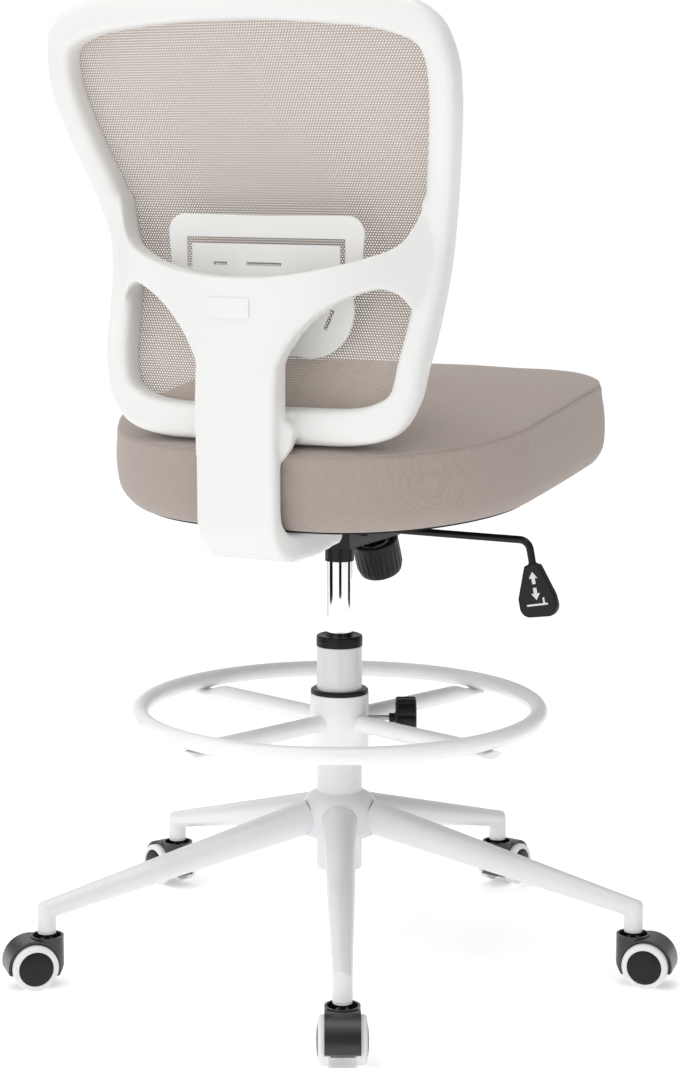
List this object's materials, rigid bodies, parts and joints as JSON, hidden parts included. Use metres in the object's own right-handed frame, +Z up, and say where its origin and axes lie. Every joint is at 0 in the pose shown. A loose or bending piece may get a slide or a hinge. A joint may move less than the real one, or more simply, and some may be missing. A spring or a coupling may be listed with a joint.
{
  "type": "drafting chair",
  "caption": "Drafting chair with a mesh back, an upholstered seat, a height-adjustable column, a clamped foot ring and a caster base.",
  "frame": {"origin": "on the floor, under the column's axis", "axes": "+Z up; the chair faces -Y and the sitter's left is +X"},
  "size_m": [0.7272, 0.7212, 1.0593],
  "materials": {
    "white_steel": "semi-gloss powder coat",
    "white_plastic": "fine grained satin",
    "black_plastic": "fine grained satin",
    "black_steel": "satin powder coat",
    "zinc": "zinc plated",
    "chrome": "polished",
    "tread": "matt light grey tread",
    "plywood": "black-stained plywood",
    "seat_fabric": "knitted taupe spacer fabric over foam",
    "mesh_fabric": "open knitted taupe mesh"
  },
  "bodies": {
    "base": {"base_hub": "white_steel", "base_legs": "white_steel", "base_sockets": "white_plastic", "column_tube": "white_steel", "column_bushing": "black_plastic", "piston_rod": "zinc", "rod_bearing": "zinc"},
    "lift": {"gas_cylinder": "chrome"},
    "valve": {"valve_button": "zinc"},
    "footrest": {"footrest_collar": "white_steel", "footrest_spokes": "white_steel", "footrest_ring": "white_steel", "footrest_bushing": "black_plastic"},
    "clamp": {"clamp_screw": "zinc", "clamp_knob": "black_plastic"},
    "mechanism": {"tilt_housing": "black_steel", "tilt_axle": "zinc", "tension_spring": "zinc"},
    "lever_slider": {"lever_bush": "black_plastic"},
    "lever": {"lever_rod": "black_steel", "lever_paddle": "black_plastic"},
    "seat": {"seat_plate": "black_steel", "tension_bolt": "zinc", "seat_board": "plywood", "seat_cushion": "seat_fabric", "seat_bolts": "zinc", "back_frame": "white_plastic", "back_mesh": "mesh_fabric", "lumbar_plate": "white_plastic"},
    "tension_knob": {"tension_knob": "black_plastic"},
    "caster_1": {"caster_hood_1": "black_plastic", "caster_pins_1": "zinc"},
    "wheel_l_1": {"wheel_core_l_1": "black_plastic", "wheel_tread_l_1": "tread"},
    "wheel_r_1": {"wheel_core_r_1": "black_plastic", "wheel_tread_r_1": "tread"},
    "caster_2": {"caster_hood_2": "black_plastic", "caster_pins_2": "zinc"},
    "wheel_l_2": {"wheel_core_l_2": "black_plastic", "wheel_tread_l_2": "tread"},
    "wheel_r_2": {"wheel_core_r_2": "black_plastic", "wheel_tread_r_2": "tread"},
    "caster_3": {"caster_hood_3": "black_plastic", "caster_pins_3": "zinc"},
    "wheel_l_3": {"wheel_core_l_3": "black_plastic", "wheel_tread_l_3": "tread"},
    "wheel_r_3": {"wheel_core_r_3": "black_plastic", "wheel_tread_r_3": "tread"},
    "caster_4": {"caster_hood_4": "black_plastic", "caster_pins_4": "zinc"},
    "wheel_l_4": {"wheel_core_l_4": "black_plastic", "wheel_tread_l_4": "tread"},
    "wheel_r_4": {"wheel_core_r_4": "black_plastic", "wheel_tread_r_4": "tread"},
    "caster_5": {"caster_hood_5": "black_plastic", "caster_pins_5": "zinc"},
    "wheel_l_5": {"wheel_core_l_5": "black_plastic", "wheel_tread_l_5": "tread"},
    "wheel_r_5": {"wheel_core_r_5": "black_plastic", "wheel_tread_r_5": "tread"}
  },
  "joints": [
    {"name": "seat_height", "type": "slide", "parent": "base", "child": "lift", "axis": [0, 0, 1], "range_m": [-0.06, 0.12]},
    {"name": "seat_swivel", "type": "hinge", "parent": "lift", "child": "mechanism", "pos_m": [0, 0, 0.448], "axis": [0, 0, 1], "continuous": true},
    {"name": "valve_press", "type": "slide", "parent": "lift", "child": "valve", "axis": [0, 0, -1], "range_m": [0, 0.0036]},
    {"name": "seat_tilt", "type": "hinge", "parent": "mechanism", "child": "seat", "pos_m": [0, -0.025, 0.498], "axis": [-1, 0, 0], "range_deg": [0, 12], "stiffness_Nm_per_rad": 60, "springref_deg": -11.46, "deforming": ["tension_spring"]},
    {"name": "tension_turn", "type": "hinge", "parent": "seat", "child": "tension_knob", "pos_m": [0, -0.093, 0.44], "axis": [0, 0.4067, 0.9135], "range_deg": [-720, 720]},
    {"name": "lever_pull", "type": "slide", "parent": "mechanism", "child": "lever_slider", "axis": [-1, 0, 0], "range_m": [0, 0.008]},
    {"name": "lever_lift", "type": "hinge", "parent": "lever_slider", "child": "lever", "pos_m": [-0.036, 0.02, 0.49], "axis": [0, 1, 0], "range_deg": [0, 6]},
    {"name": "footrest_height", "type": "slide", "parent": "base", "child": "footrest", "axis": [0, 0, 1], "range_m": [-0.045, 0.035]},
    {"name": "clamp_turn", "type": "hinge", "parent": "footrest", "child": "clamp", "pos_m": [-0.05298, -0.02817, 0.271], "axis": [-0.8829, -0.4695, 0], "range_deg": [0, 720]},
    {"name": "caster_swivel_1", "type": "hinge", "parent": "base", "child": "caster_1", "pos_m": [-0.15918, 0.29317, 0.059], "axis": [0, 0, 1], "continuous": true},
    {"name": "wheel_spin_l_1", "type": "hinge", "parent": "caster_1", "child": "wheel_l_1", "pos_m": [-0.16729, 0.30811, 0.025], "axis": [-0.8788, -0.4772, 0], "continuous": true},
    {"name": "wheel_spin_r_1", "type": "hinge", "parent": "caster_1", "child": "wheel_r_1", "pos_m": [-0.16729, 0.30811, 0.025], "axis": [-0.8788, -0.4772, 0], "continuous": true},
    {"name": "caster_swivel_2", "type": "hinge", "parent": "base", "child": "caster_2", "pos_m": [-0.32801, -0.06079, 0.059], "axis": [0, 0, 1], "continuous": true},
    {"name": "wheel_spin_l_2", "type": "hinge", "parent": "caster_2", "child": "wheel_l_2", "pos_m": [-0.34473, -0.06389, 0.025], "axis": [0.1822, -0.9833, 0], "continuous": true},
    {"name": "wheel_spin_r_2", "type": "hinge", "parent": "caster_2", "child": "wheel_r_2", "pos_m": [-0.34473, -0.06389, 0.025], "axis": [0.1822, -0.9833, 0], "continuous": true},
    {"name": "caster_swivel_3", "type": "hinge", "parent": "base", "child": "caster_3", "pos_m": [-0.04354, -0.33075, 0.059], "axis": [0, 0, 1], "continuous": true},
    {"name": "wheel_spin_l_3", "type": "hinge", "parent": "caster_3", "child": "wheel_l_3", "pos_m": [-0.04576, -0.3476, 0.025], "axis": [0.9914, -0.1305, 0], "continuous": true},
    {"name": "wheel_spin_r_3", "type": "hinge", "parent": "caster_3", "child": "wheel_r_3", "pos_m": [-0.04576, -0.3476, 0.025], "axis": [0.9914, -0.1305, 0], "continuous": true},
    {"name": "caster_swivel_4", "type": "hinge", "parent": "base", "child": "caster_4", "pos_m": [0.3011, -0.14362, 0.059], "axis": [0, 0, 1], "continuous": true},
    {"name": "wheel_spin_l_4", "type": "hinge", "parent": "caster_4", "child": "wheel_l_4", "pos_m": [0.31645, -0.15094, 0.025], "axis": [0.4305, 0.9026, 0], "continuous": true},
    {"name": "wheel_spin_r_4", "type": "hinge", "parent": "caster_4", "child": "wheel_r_4", "pos_m": [0.31645, -0.15094, 0.025], "axis": [0.4305, 0.9026, 0], "continuous": true},
    {"name": "caster_swivel_5", "type": "hinge", "parent": "base", "child": "caster_5", "pos_m": [0.22964, 0.24199, 0.059], "axis": [0, 0, 1], "continuous": true},
    {"name": "wheel_spin_l_5", "type": "hinge", "parent": "caster_5", "child": "wheel_l_5", "pos_m": [0.24134, 0.25432, 0.025], "axis": [-0.7254, 0.6884, 0], "continuous": true},
    {"name": "wheel_spin_r_5", "type": "hinge", "parent": "caster_5", "child": "wheel_r_5", "pos_m": [0.24134, 0.25432, 0.025], "axis": [-0.7254, 0.6884, 0], "continuous": true}
  ],
  "couplings": [
    {"joint": "valve_press", "follows": "lever_lift", "m_per_rad": 0.034}
  ]
}
